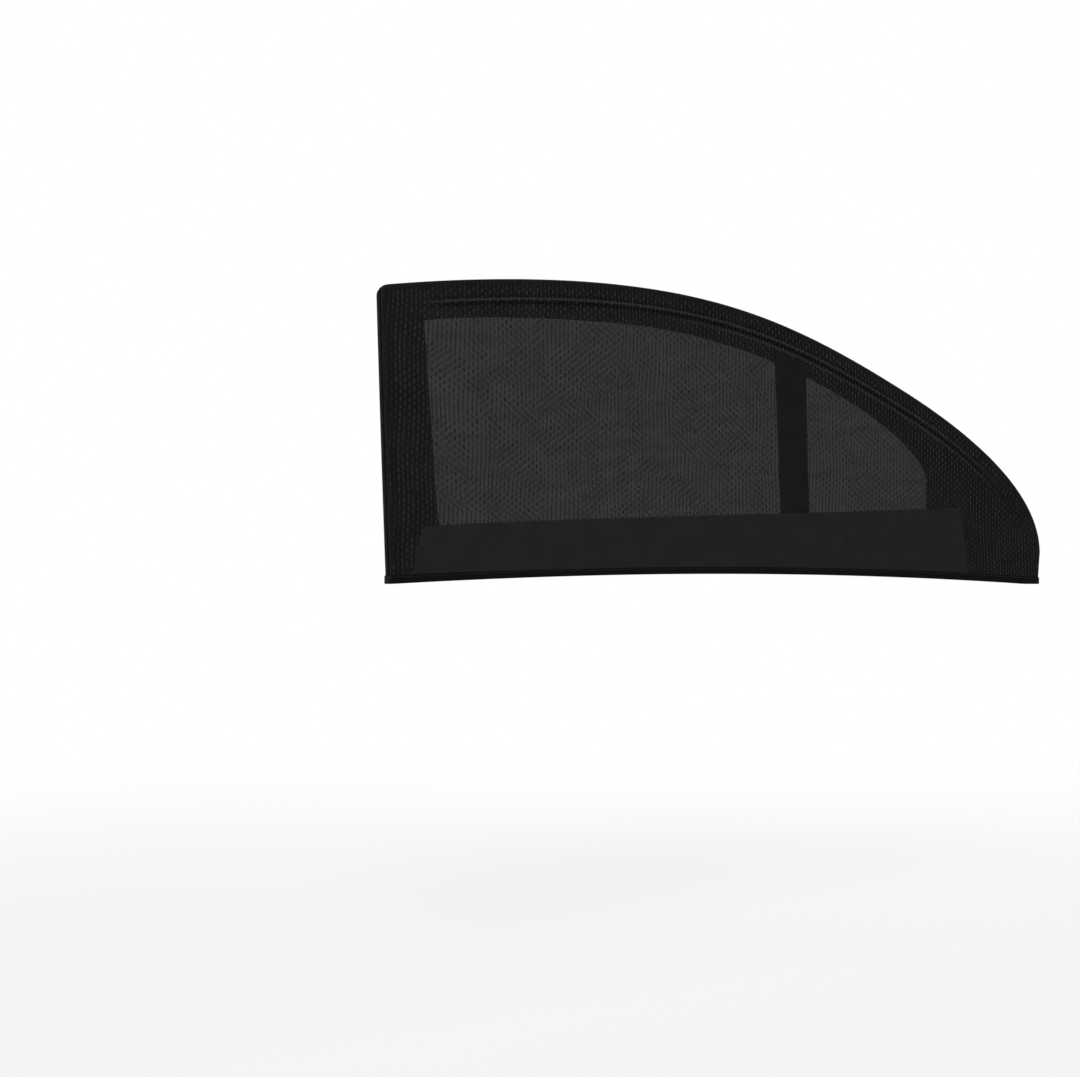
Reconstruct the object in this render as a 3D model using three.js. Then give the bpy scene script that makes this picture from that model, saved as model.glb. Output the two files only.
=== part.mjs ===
// A slip-on sunshade for a car's side window: a flat sleeve of stretch net, open along the bottom,
// that is pulled down over the window frame of a front door.
// Millimetres. +X runs along the shade towards the windscreen, +Z is up, -Y is the cabin side.
// The origin is the middle of the sleeve's mouth.

import * as THREE from 'three';

// Outline of the sleeve, seen from the cabin.
const mouthLength = 1116;         // the open edge at the bottom, from end to end
const sleeveHeight = 423.5;       // highest point of the top edge above the mouth
const rearHeight = 388;           // top rear corner above the mouth
const rearLean = 16;              // how far the rear edge leans out at its top
const rearCornerLeg = 20;         // where the rounding of the top rear corner starts
const uprightStretch = 14;        // both ends rise straight up this far from the mouth
const crownFromRear = 338;        // highest point, from the rear end of the mouth
const shoulderFromFront = 265;    // point where the top edge starts to drop, from the front end
const shoulderHeight = 301;
const shoulderSlope = 24.6;       // degrees below level at that point
const noseHeight = 52;            // the front edge stands upright here
const noseBulge = 4;              // how far it stands out past the mouth there
const rearSlope = 10.2;           // degrees above level where the top edge leaves the rear corner

// Handles of the curves that make the top edge.
const rearHandle = 117;
const crownRearHandle = 115;
const crownFrontHandle = 192;
const shoulderRearHandle = 209;
const shoulderFrontHandle = 164;
const noseHandle = 93;

// The sleeve in depth.
const sleeveDepth = 36;           // over both net panels, as thick as a door's window frame
const rollRadius = 8;             // the net rolls over the frame's edge with this radius
const crownSag = 12;              // the ends lie this much nearer the cabin than the middle
const topLean = 6;                // the top lies this much nearer the cabin than the mouth
const mouthRise = 15;             // the stretched hem bows up in the middle
const riseFade = 110;             // the bow has gone at this height

// Fabrics and how they lie on each other.
const netThickness = 1;
const facingThickness = 0.8;
const tapeThickness = 0.8;
const bindingThickness = 1;
const sewnGap = 0.3;              // clearance between two fabrics that are sewn together
const seamGap = 0.6;              // from the middle of the edge to each panel's edge
const hemHeight = 11;
const edgeBindingWidth = 9;
const facingMargin = 3;           // the border facing starts this far inside the roll

// Creases that run along the top edge, where the net is pulled over the step of the frame.
const creaseInset = 28;           // first crest, from the outline
const creaseRunUp = 6.6;          // the net is still level this far before the first crest
const creasePitch = 5.5;          // from a crest to the next dip
const firstCrestHeight = 2.4;
const secondCrestHeight = 1.5;
const dipDepth = 0.5;
const creaseStart = 20;           // the creases rise out of the border this far from the rear end
const creaseGrowth = 70;          // length over which they grow to full height
const creaseFloor = 150;          // below this height they fade away at the front
const secondCrestGrowth = 260;    // the second crest grows over this length past the highest point

// The see-through opening in the border facing. Its rims are what is left of the facing between
// the creased border and the opening.
const rimAtRearCornerTop = 2.5;
const rimAtRearCorner = 9;
const rimAtRearFoot = 20.5;
const rimAtCrown = 4.5;
const openingFromFront = 202;
const openingCornerLeg = 12;
const openingNoseHeight = 167;
const openingCrownAdvance = 28;   // the opening's highest point lies ahead of the outline's
const openingCrownHandle = 284;
const openingNoseHandle = 60;
const openingRearHandle = 100;
const openingLap = 4;             // the opening ends this far behind the band's top edge

// Plain tapes sewn on the face of the net.
const bandFromRearTop = 40;
const bandFromRearBottom = 28;
const bandFromFrontTop = 163;
const bandFromFrontBottom = 148;
const bandHeightRear = 75;
const bandHeightFront = 122;
const dividerFromFront = 504;     // lower rear corner of the divider, from the front end
const dividerLean = 12;
const dividerWidthBottom = 51;
const dividerWidthTop = 57;
const dividerLap = 3.5;           // the divider runs this far over the border facing
const outerDividerShift = 26;     // the outer divider sits further forward, in line with the inner one
                                  // when it is seen from the seat

// Gaps of the net, drawn larger than the real ones.
const gapWidth = 13;
const gapHeight = 35;
const gapPitchX = 35;
const gapPitchZ = 51;
const gapMargin = 7;              // net left solid round each opening's edge

// How finely the curves are drawn.
const longestEdge = 150;
const mouthSteps = 14;
const dividerSteps = 4;
const rollSteps = 3;
const rearEdgeSteps = 4;
const cornerSteps = 4;
const rearTopSteps = 6;
const topSteps = 9;
const noseSteps = 10;
const openingCornerSteps = 3;
const openingRearSteps = 5;
const openingTopSteps = 14;

const rearX = -mouthLength / 2;
const frontX = mouthLength / 2;
const halfDepth = sleeveDepth / 2;
const crownX = rearX + crownFromRear;
const shoulderX = frontX - shoulderFromFront;

const INNER = -1;
const OUTER = 1;

const point = (x, z) => new THREE.Vector2(x, z);

function smoothStep(from, to, value) {
  return THREE.MathUtils.smoothstep(value, from, to);
}

// The point that lies a given length from another one, at an angle in degrees above +X.
function step(from, length, angle) {
  const radians = THREE.MathUtils.degToRad(angle);
  return point(from.x + length * Math.cos(radians), from.y + length * Math.sin(radians));
}

// Corners and handles of the outline, from the mouth's rear end over the top to its front end.
function outlineControls(bottom) {
  const rearCorner = point(rearX - rearLean, rearHeight);
  const crown = point(crownX, sleeveHeight);
  const shoulder = point(shoulderX, shoulderHeight);
  const nose = point(frontX + noseBulge, noseHeight);
  return [
    point(rearX, bottom),
    point(rearX, uprightStretch),
    rearCorner,
    step(rearCorner, rearHandle, rearSlope),
    step(crown, crownRearHandle, 180),
    crown,
    step(crown, crownFrontHandle, 0),
    step(shoulder, shoulderRearHandle, 180 - shoulderSlope),
    shoulder,
    step(shoulder, shoulderFrontHandle, -shoulderSlope),
    step(nose, noseHandle, 90),
    nose,
    point(frontX, uprightStretch),
    point(frontX, bottom),
  ];
}

// Direction of the leg between two points, turned to point out of the outline.
function legNormal(from, to) {
  const along = to.clone().sub(from).normalize();
  return point(-along.y, along.x);
}

// Moves each corner of an open line inwards, so that every leg moves by the same inset.
function insetLine(corners, inset) {
  return corners.map((corner, i) => {
    const before = i > 0 ? legNormal(corners[i - 1], corner) : null;
    const after = i < corners.length - 1 ? legNormal(corner, corners[i + 1]) : null;
    const first = before ?? after;
    const second = after ?? before;
    const sum = first.clone().add(second);
    return corner.clone().addScaledVector(sum, -inset / (1 + first.dot(second)));
  });
}

// One ring of the sleeve: the outline moved inwards by an inset, always with the same points.
function ring(inset, bottom) {
  const c = insetLine(outlineControls(bottom), inset);
  const leg = Math.max(rearCornerLeg - inset, rearCornerLeg / 3);
  const cornerStart = c[2].clone().add(c[1].clone().sub(c[2]).setLength(leg));
  const cornerEnd = c[2].clone().add(c[3].clone().sub(c[2]).setLength(leg));
  const parts = [
    [new THREE.LineCurve(c[0], c[1]), 1],
    [new THREE.LineCurve(c[1], cornerStart), rearEdgeSteps],
    [new THREE.QuadraticBezierCurve(cornerStart, c[2], cornerEnd), cornerSteps],
    [new THREE.CubicBezierCurve(cornerEnd, c[3], c[4], c[5]), rearTopSteps],
    [new THREE.CubicBezierCurve(c[5], c[6], c[7], c[8]), topSteps],
    [new THREE.CubicBezierCurve(c[8], c[9], c[10], c[11]), noseSteps],
    [new THREE.LineCurve(c[11], c[12]), 1],
    [new THREE.LineCurve(c[12], c[13]), 1],
  ];
  return joinCurves(parts);
}

function joinCurves(parts) {
  const points = [parts[0][0].getPoint(0)];
  for (const [curve, steps] of parts) {
    points.push(...curve.getPoints(steps).slice(1));
  }
  return points;
}

// Points that divide a straight line into steps no longer than the longest edge, without its end.
function divideLine(from, to) {
  const steps = Math.ceil(from.distanceTo(to) / longestEdge);
  return Array.from({ length: steps }, (_, i) => from.clone().lerp(to, i / steps));
}

// Rings that the creases need: level, crest, dip, crest, and level again at the field's edge.
const creaseInsets = [
  creaseInset - creaseRunUp,
  creaseInset,
  creaseInset + creasePitch,
  creaseInset + 2 * creasePitch,
  creaseInset + 3 * creasePitch,
];
const fieldInset = creaseInsets[creaseInsets.length - 1];

// How far the creases lift the net at a ring of a given inset.
function creaseLift(inset, at) {
  const fade = smoothStep(creaseStart, creaseStart + creaseGrowth, at.x - rearX)
    * smoothStep(uprightStretch, creaseFloor, at.y);
  const second = smoothStep(0, secondCrestGrowth, at.x - crownX);
  const heights = [0, firstCrestHeight, -dipDepth, secondCrestHeight * second, 0];
  return fade * (heights[creaseInsets.indexOf(inset)] ?? 0);
}

// Puts a point of the flat pattern where the fitted sleeve has it: the hem bows up, the ends and
// the top lie nearer the cabin than the middle of the mouth.
function settle(x, depth, z) {
  const across = x / frontX;
  const rise = mouthRise * Math.max(0, 1 - across * across) * Math.max(0, 1 - z / riseFade);
  const sag = crownSag * across * across;
  const lean = topLean * (z / sleeveHeight) ** 2;
  return [x, depth - sag - lean, z + rise];
}

// Closes a sheet: its two faces pair up point by point, and every free edge gets a wall.
function closeSheet(outerPoints, innerPoints, triangles, side) {
  const vertices = [...outerPoints, ...innerPoints].map(([x, depth, z]) => settle(x, side * depth, z));
  const count = outerPoints.length;
  const faces = side === INNER ? triangles : triangles.map(([a, b, c]) => [a, c, b]);
  const edges = new Set(faces.flatMap(([a, b, c]) => [`${a},${b}`, `${b},${c}`, `${c},${a}`]));
  const index = [];
  for (const [a, b, c] of faces) {
    index.push(a, b, c, count + a, count + c, count + b);
    for (const [from, to] of [[a, b], [b, c], [c, a]]) {
      if (!edges.has(`${to},${from}`)) {
        index.push(to, from, count + from, to, count + from, count + to);
      }
    }
  }
  const geometry = new THREE.BufferGeometry();
  geometry.setAttribute('position', new THREE.Float32BufferAttribute(vertices.flat(), 3));
  geometry.setIndex(index);
  return geometry;
}

// Triangles of a grid of rows and columns, numbered row by row.
function gridTriangles(rows, columns, closed) {
  const triangles = [];
  for (let row = 0; row < rows - 1; row += 1) {
    for (let column = 0; column < columns - (closed ? 0 : 1); column += 1) {
      const next = (column + 1) % columns;
      const a = row * columns + column;
      const b = row * columns + next;
      const c = b + columns;
      const d = a + columns;
      triangles.push([a, d, c], [a, c, b]);
    }
  }
  return triangles;
}

// Splits every edge that is too long, so that the flat triangles can follow the bent sleeve.
function refine(points, triangles) {
  const all = [...points];
  let work = triangles;
  let found = true;
  while (found) {
    const middles = new Map();
    const middleOf = (a, b) => {
      if (all[a].distanceTo(all[b]) <= longestEdge) return null;
      const key = a < b ? `${a},${b}` : `${b},${a}`;
      if (!middles.has(key)) {
        middles.set(key, all.length);
        all.push(all[a].clone().lerp(all[b], 0.5));
      }
      return middles.get(key);
    };
    work = work.flatMap((triangle) => splitTriangle(triangle, middleOf));
    found = middles.size > 0;
  }
  return { points: all, triangles: work };
}

// Splits a triangle at the middles of those of its edges that are too long.
function splitTriangle(corners, middleOf) {
  const middles = corners.map((corner, i) => middleOf(corner, corners[(i + 1) % 3]));
  const cuts = middles.filter((middle) => middle !== null).length;
  const single = middles.findIndex((middle) => (cuts === 1) === (middle !== null));
  const turn = Math.max(single, 0);
  const [a, b, c] = [0, 1, 2].map((i) => corners[(i + turn) % 3]);
  const [ab, bc, ca] = [0, 1, 2].map((i) => middles[(i + turn) % 3]);
  if (cuts === 3) return [[a, ab, ca], [ab, b, bc], [ca, bc, c], [ab, bc, ca]];
  if (cuts === 2) return [[bc, c, ca], [a, b, bc], [a, bc, ca]];
  if (cuts === 1) return [[a, ab, c], [ab, b, c]];
  return [corners];
}

// Triangles of a flat field with holes in it, all turned the same way, as the cabin sees them.
function fillField(contour, holes) {
  const points = [contour, ...holes].flat();
  const raw = THREE.ShapeUtils.triangulateShape(contour, holes);
  const areas = raw.map((triangle) => THREE.ShapeUtils.area(triangle.map((i) => points[i])));
  const total = areas.reduce((sum, area) => sum + area, 0);
  return refine(points, total > 0 ? raw : raw.map(([a, b, c]) => [a, c, b]));
}

// A sheet made of rings that ends in a flat field with holes. Each row gives the inset and depth of
// its outer and inner face; the last row is the edge of the field.
function ringedSheet(rows, bottom, holes, side) {
  const outerRings = rows.map((row) => ring(row.outer[0], bottom));
  const innerRings = rows.map((row) => ring(row.inner[0], bottom));
  const columns = outerRings[0].length;
  const lifted = (rings, face) => rings.flatMap((line, i) => line.map((p) => {
    const lift = creaseLift(rows[i].outer[0], p);
    return [p.x, rows[i][face][1] + lift, p.y];
  }));
  const outer = lifted(outerRings, 'outer');
  const inner = lifted(innerRings, 'inner');
  const last = (rows.length - 1) * columns;
  const edge = outerRings[rows.length - 1];
  const mouth = mouthLine(edge[columns - 1], edge[0]);
  const field = fillField([...edge, ...mouth], holes);
  const place = (i) => (i < columns ? last + i : outer.length + i - columns);
  const triangles = gridTriangles(rows.length, columns, false);
  const fieldTriangles = field.triangles.map((triangle) => triangle.map(place));
  const [, outerDepth] = rows[rows.length - 1].outer;
  const [, innerDepth] = rows[rows.length - 1].inner;
  const rest = field.points.slice(columns);
  const outerAll = [...outer, ...rest.map((p) => [p.x, outerDepth, p.y])];
  const innerAll = [...inner, ...rest.map((p) => [p.x, innerDepth, p.y])];
  return closeSheet(outerAll, innerAll, [...triangles, ...fieldTriangles], side);
}

// Inner points of a straight line along the mouth.
function mouthLine(from, to) {
  return Array.from({ length: mouthSteps - 1 }, (_, i) => from.clone().lerp(to, (i + 1) / mouthSteps));
}

// Rows of the roll at the sleeve's edge, from the seam to where the panel lies flat.
function rollRows() {
  const rows = [{ outer: [0, seamGap], inner: [netThickness, seamGap] }];
  for (let i = 0; i <= rollSteps; i += 1) {
    const angle = (Math.PI / 2) * (i / rollSteps);
    const onRoll = (radius) => [
      rollRadius - radius * Math.cos(angle),
      halfDepth - rollRadius + radius * Math.sin(angle),
    ];
    rows.push({ outer: onRoll(rollRadius), inner: onRoll(rollRadius - netThickness) });
  }
  return rows;
}

function flatRows(insets, outerDepth, thickness) {
  return insets.map((inset) => ({ outer: [inset, outerDepth], inner: [inset, outerDepth - thickness] }));
}

// Height of the lower band's top edge.
function bandTop(x) {
  const from = rearX + bandFromRearTop;
  const to = frontX - bandFromFrontTop;
  return THREE.MathUtils.mapLinear(x, from, to, bandHeightRear, bandHeightFront);
}

function openingContour() {
  const borderCorner = insetLine(outlineControls(0), fieldInset + rimAtRearCornerTop)[2];
  const rearTop = step(borderCorner, rimAtRearCorner, rearSlope);
  const rearBottomX = rearX + fieldInset + rimAtRearFoot;
  const rearBottom = point(rearBottomX, bandTop(rearBottomX) - openingLap);
  const crown = point(crownX + openingCrownAdvance, sleeveHeight - fieldInset - rimAtCrown);
  const nose = point(frontX - openingFromFront, openingNoseHeight);
  const noseFoot = point(nose.x, bandTop(nose.x) - openingLap);
  const rearHandlePoint = step(rearTop, openingRearHandle, rearSlope);
  const beforeCrown = step(crown, openingRearHandle, 180);
  const crownHandlePoint = step(crown, openingCrownHandle, 0);
  const noseHandlePoint = step(nose, openingNoseHandle, 90);
  const cornerStart = rearTop.clone().add(rearBottom.clone().sub(rearTop).setLength(openingCornerLeg));
  const cornerEnd = rearTop.clone().add(rearHandlePoint.clone().sub(rearTop).setLength(openingCornerLeg));
  const upper = joinCurves([
    [new THREE.QuadraticBezierCurve(cornerStart, rearTop, cornerEnd), openingCornerSteps],
    [new THREE.CubicBezierCurve(cornerEnd, rearHandlePoint, beforeCrown, crown), openingRearSteps],
    [new THREE.CubicBezierCurve(crown, crownHandlePoint, noseHandlePoint, nose), openingTopSteps],
  ]);
  return [
    ...divideLine(rearBottom, cornerStart),
    ...upper,
    ...divideLine(noseFoot, rearBottom),
  ];
}

function isInside(at, contour) {
  let inside = false;
  contour.forEach((p, i) => {
    const q = contour[(i + 1) % contour.length];
    const crosses = (p.y > at.y) !== (q.y > at.y);
    if (crosses && at.x < ((q.x - p.x) * (at.y - p.y)) / (q.y - p.y) + p.x) inside = !inside;
  });
  return inside;
}

function dividerContour(margin, side) {
  const rearEdge = frontX - dividerFromFront + (side === OUTER ? outerDividerShift : 0);
  const rearBottomX = rearEdge - margin;
  const frontBottomX = rearEdge + dividerWidthBottom + margin;
  const rearTopX = rearBottomX - dividerLean;
  const frontTopX = rearTopX + dividerWidthTop + 2 * margin;
  const opening = openingContour();
  return [
    point(rearBottomX, bandTop(rearBottomX) + sewnGap),
    point(frontBottomX, bandTop(frontBottomX) + sewnGap),
    point(frontTopX, topOf(opening, frontTopX) + dividerLap),
    point(rearTopX, topOf(opening, rearTopX) + dividerLap),
  ];
}

// The highest point of a contour at a given place along the sleeve.
function topOf(contour, x) {
  const heights = contour.map((p, i) => {
    const q = contour[(i + 1) % contour.length];
    const spans = (p.x - x) * (q.x - x) <= 0 && p.x !== q.x;
    return spans ? THREE.MathUtils.mapLinear(x, p.x, q.x, p.y, q.y) : -Infinity;
  });
  return Math.max(...heights);
}

function lozenge(centre, width, height) {
  return [
    point(centre.x - width / 2, centre.y),
    point(centre.x, centre.y + height / 2),
    point(centre.x + width / 2, centre.y),
    point(centre.x, centre.y - height / 2),
  ];
}

// The net's gaps: pointed slots in staggered columns, wherever the net covers an opening.
function netGaps(side) {
  const opening = openingContour();
  const divider = dividerContour(gapMargin, side);
  const fits = (p) => isInside(p, opening) && !isInside(p, divider) && p.y > bandTop(p.x) + gapMargin;
  const startX = rearX + fieldInset + rimAtRearFoot;
  const columns = Math.ceil((frontX - openingFromFront - startX) / gapPitchX);
  const rows = Math.ceil(sleeveHeight / gapPitchZ);
  const gaps = [];
  for (let column = 0; column <= columns; column += 1) {
    for (let row = 0; row <= rows; row += 1) {
      const shift = column % 2 === 0 ? 0 : gapPitchZ / 2;
      const centre = point(startX + column * gapPitchX, row * gapPitchZ + shift);
      const reach = lozenge(centre, gapWidth + 2 * gapMargin, gapHeight + 2 * gapMargin);
      if (reach.every(fits)) gaps.push(lozenge(centre, gapWidth, gapHeight));
    }
  }
  return gaps;
}

function netPanel(side) {
  const rows = [...rollRows(), ...flatRows(creaseInsets, halfDepth, netThickness)];
  return ringedSheet(rows, bindingThickness + sewnGap, netGaps(side), side);
}

function borderFacing(side) {
  const rows = flatRows(
    [rollRadius + facingMargin, ...creaseInsets],
    halfDepth - netThickness - sewnGap,
    facingThickness,
  );
  return ringedSheet(rows, hemHeight + sewnGap, [openingContour()], side);
}

// A plain tape on the face of the net, between two edges that are divided into as many steps.
function tape(firstEdge, secondEdge, steps, side) {
  const points = [firstEdge, secondEdge].flatMap(([from, to]) => (
    Array.from({ length: steps + 1 }, (_, i) => from.clone().lerp(to, i / steps))
  ));
  const outerDepth = halfDepth + sewnGap + tapeThickness;
  const outer = points.map((p) => [p.x, outerDepth, p.y]);
  const inner = points.map((p) => [p.x, outerDepth - tapeThickness, p.y]);
  return closeSheet(outer, inner, gridTriangles(2, steps + 1, false), side);
}

function bottomBand(side) {
  const bottom = hemHeight + sewnGap;
  const topEdge = [
    point(rearX + bandFromRearTop, bandHeightRear),
    point(frontX - bandFromFrontTop, bandHeightFront),
  ];
  const bottomEdge = [
    point(rearX + bandFromRearBottom, bottom),
    point(frontX - bandFromFrontBottom, bottom),
  ];
  return tape(topEdge, bottomEdge, mouthSteps, side);
}

function dividerStrip(side) {
  const [rearBottom, frontBottom, frontTop, rearTop] = dividerContour(0, side);
  return tape([rearBottom, rearTop], [frontBottom, frontTop], dividerSteps, side);
}

// The tape that covers the seam where the two panels meet, along the rear edge, top and front edge.
function edgeBinding() {
  const bottom = hemHeight + sewnGap;
  const outerRing = ring(-sewnGap - bindingThickness, bottom);
  const innerRing = ring(-sewnGap, bottom);
  const rowsOf = (line) => [-1, 1].flatMap((end) => line.map((p) => (
    [p.x, (end * edgeBindingWidth) / 2, p.y]
  )));
  const triangles = gridTriangles(2, outerRing.length, false);
  return closeSheet(rowsOf(outerRing), rowsOf(innerRing), triangles, OUTER);
}

// The closed line round the mouth, a given distance outside the face of the net.
function mouthLoop(outset) {
  const reachX = frontX - rollRadius;
  const reachDepth = halfDepth - rollRadius;
  const radius = rollRadius + outset;
  const quarter = (centreX, centreDepth, startAngle) => Array.from({ length: rollSteps + 1 }, (_, i) => {
    const angle = startAngle + (Math.PI / 2) * (i / rollSteps);
    return [centreX + radius * Math.cos(angle), centreDepth + radius * Math.sin(angle)];
  });
  const side = (depth, direction) => Array.from({ length: mouthSteps - 1 }, (_, i) => (
    [direction * reachX * ((2 * (i + 1)) / mouthSteps - 1), depth]
  ));
  return [
    ...side(-halfDepth - outset, 1),
    ...quarter(reachX, -reachDepth, -Math.PI / 2),
    ...quarter(reachX, reachDepth, 0),
    ...side(halfDepth + outset, -1),
    ...quarter(-reachX, reachDepth, Math.PI / 2),
    ...quarter(-reachX, -reachDepth, Math.PI),
  ];
}

// The elastic binding folded round the mouth's edge: a channel that holds the net's lower edge.
function hemBinding() {
  const outsideLeg = sewnGap + bindingThickness;
  const insideLeg = -netThickness - sewnGap - bindingThickness;
  const row = (outset, z) => mouthLoop(outset).map(([x, depth]) => [x, depth, z]);
  const outer = [
    ...row(outsideLeg, hemHeight),
    ...row(outsideLeg, 0),
    ...row(insideLeg, 0),
    ...row(insideLeg, hemHeight),
  ];
  const inner = [
    ...row(sewnGap, hemHeight),
    ...row(sewnGap, bindingThickness),
    ...row(-netThickness - sewnGap, bindingThickness),
    ...row(-netThickness - sewnGap, hemHeight),
  ];
  const channelRows = 4;
  const triangles = gridTriangles(channelRows, outer.length / channelRows, true);
  const flipped = triangles.map(([a, b, c]) => [a, c, b]);
  return closeSheet(outer, inner, flipped, OUTER);
}

const netFabric = { color: 0x2b2b2d, roughness: 0.85, metalness: 0 };
const facingFabric = { color: 0x161617, roughness: 0.95, metalness: 0 };
const tapeFabric = { color: 0x222223, roughness: 0.8, metalness: 0 };
const bindingFabric = { color: 0x0c0c0e, roughness: 0.7, metalness: 0 };

const sunshade = new THREE.Group();

function addPiece(name, geometry, fabric) {
  const mesh = new THREE.Mesh(geometry, new THREE.MeshStandardMaterial(fabric));
  mesh.name = name;
  sunshade.add(mesh);
}

for (const [sideName, side] of [['inner', INNER], ['outer', OUTER]]) {
  addPiece(`${sideName}_net_panel`, netPanel(side), netFabric);
  addPiece(`${sideName}_border_facing`, borderFacing(side), facingFabric);
  addPiece(`${sideName}_divider_strip`, dividerStrip(side), tapeFabric);
  addPiece(`${sideName}_bottom_band`, bottomBand(side), tapeFabric);
}
addPiece('edge_binding', edgeBinding(), bindingFabric);
addPiece('hem_binding', hemBinding(), bindingFabric);

export default sunshade;
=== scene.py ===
# %% [markdown]
# # A slip-on sunshade for a car's side window
# The shade is a sleeve of black stretch net. This lesson dresses its plain solids with net, sewn
# borders, tapes and bindings. It starts with the frame: the solids, where they stand.

# %% Load the frame
import math

import bpy
import numpy as np
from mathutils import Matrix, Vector
from mathutils.geometry import delaunay_2d_cdt


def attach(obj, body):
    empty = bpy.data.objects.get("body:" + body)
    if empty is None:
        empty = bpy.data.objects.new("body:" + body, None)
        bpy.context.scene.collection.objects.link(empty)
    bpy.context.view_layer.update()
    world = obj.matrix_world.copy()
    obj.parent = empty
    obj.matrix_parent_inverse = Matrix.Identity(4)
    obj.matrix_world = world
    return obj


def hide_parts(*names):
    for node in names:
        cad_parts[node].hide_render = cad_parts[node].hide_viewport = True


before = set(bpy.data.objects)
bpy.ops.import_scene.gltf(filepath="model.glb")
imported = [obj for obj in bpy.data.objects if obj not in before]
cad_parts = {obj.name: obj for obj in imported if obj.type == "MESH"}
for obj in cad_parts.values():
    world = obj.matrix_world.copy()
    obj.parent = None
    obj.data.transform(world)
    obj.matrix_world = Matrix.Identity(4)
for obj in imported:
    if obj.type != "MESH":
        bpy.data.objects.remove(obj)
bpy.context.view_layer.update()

# %% [markdown]
# ## Camera
# The photograph looks at the cabin side from beyond the rear end, at the height of the hem. The turn,
# the place and the lens were worked out from the perspective in the photograph.

# %% Camera
MM = 0.001
CAMERA_TURN = 25.0            # degrees, from square on
CAMERA_PITCH = 1.93           # degrees upwards
CAMERA_PLACE = (-1.1225, -1.6912, 0.0)
LENS = 45.0
SENSOR = 36.0

camera_data = bpy.data.cameras.new("camera")
camera_data.lens = LENS
camera_data.sensor_width = SENSOR
camera = bpy.data.objects.new("camera", camera_data)
camera.location = CAMERA_PLACE
camera.rotation_euler = (math.radians(90 + CAMERA_PITCH), 0, math.radians(-CAMERA_TURN))
bpy.context.collection.objects.link(camera)
bpy.context.scene.camera = camera
print("camera at", tuple(round(v, 3) for v in camera.location))

# %% [markdown]
# ## The outline
# The net is cut to the outline of the window. A few corners and handles give it, and Bezier curves
# join them. The same curve, moved inwards, gives every line that runs along the edge: the rolled edge,
# the creases and the borders. A curve in code was chosen because all pieces share it.

# %% Outline of the sleeve
REAR_X, FRONT_X = -558.0, 558.0     # ends of the mouth, in millimetres
SLEEVE_HEIGHT = 423.5
REAR_CORNER = (-574.0, 388.0)
REAR_SLOPE = 10.2                   # degrees
CROWN = (-220.0, SLEEVE_HEIGHT)
SHOULDER = (293.0, 301.0)
SHOULDER_SLOPE = 24.6               # degrees
NOSE = (562.0, 52.0)
UPRIGHT = 14.0                      # both ends rise straight up this far
CORNER_LEG = 11.0
REAR_HANDLE = 117
CROWN_REAR_HANDLE = 115
CROWN_FRONT_HANDLE = 192
SHOULDER_REAR_HANDLE = 209
SHOULDER_FRONT_HANDLE = 164
NOSE_HANDLE = 93


def step(start, length, angle):
    turn = math.radians(angle)
    return (start[0] + length * math.cos(turn), start[1] + length * math.sin(turn))


def controls(bottom):
    return np.array([
        (REAR_X, bottom),
        (REAR_X, UPRIGHT),
        REAR_CORNER,
        step(REAR_CORNER, REAR_HANDLE, REAR_SLOPE),
        step(CROWN, CROWN_REAR_HANDLE, 180),
        CROWN,
        step(CROWN, CROWN_FRONT_HANDLE, 0),
        step(SHOULDER, SHOULDER_REAR_HANDLE, 180 - SHOULDER_SLOPE),
        SHOULDER,
        step(SHOULDER, SHOULDER_FRONT_HANDLE, -SHOULDER_SLOPE),
        step(NOSE, NOSE_HANDLE, 90),
        NOSE,
        (FRONT_X, UPRIGHT),
        (FRONT_X, bottom),
    ])


def inset_line(corners, inset):
    along = np.diff(corners, axis=0)
    along /= np.linalg.norm(along, axis=1)[:, None]
    normals = np.stack([-along[:, 1], along[:, 0]], axis=1)
    first = np.vstack([normals[:1], normals])
    second = np.vstack([normals, normals[-1:]])
    spread = 1 + (first * second).sum(axis=1)
    return corners - (first + second) * (inset / spread)[:, None]


def bezier(points, steps):
    t = np.linspace(0, 1, steps + 1)[:, None]
    while len(points) > 1:
        points = [a * (1 - t) + b * t for a, b in zip(points[:-1], points[1:])]
    return points[0][1:]


def toward(start, target, length):
    return start + (target - start) * (length / np.linalg.norm(target - start))


def ring(inset, bottom=0.0):
    """The outline moved inwards, always with the same number of points."""
    c = inset_line(controls(bottom), inset)
    leg = max(CORNER_LEG - inset, CORNER_LEG / 3)
    corner_start = toward(c[2], c[1], leg)
    corner_end = toward(c[2], c[3], leg)
    curves = [                      # the points of each curve and the steps that it is drawn in
        ([c[0], c[1]], 3),
        ([c[1], corner_start], 30),
        ([corner_start, c[2], corner_end], 10),
        ([corner_end, *c[3:6]], 30),
        (list(c[5:9]), 44),
        (list(c[8:12]), 36),
        ([c[11], c[12]], 4),
        ([c[12], c[13]], 3),
    ]
    return np.vstack([c[:1], *[bezier(points, steps) for points, steps in curves]])


OUTLINE = ring(0.0)
print("outline:", len(OUTLINE), "points, reach", np.ptp(OUTLINE, axis=0).round(1), "mm")

# %% [markdown]
# ## The fitted shape
# Pulled on, the flat pattern bends: the ends and the top lean towards the cabin, and the hem bows up in
# the middle. One function bends every piece, so that they stay seated on each other.

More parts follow.
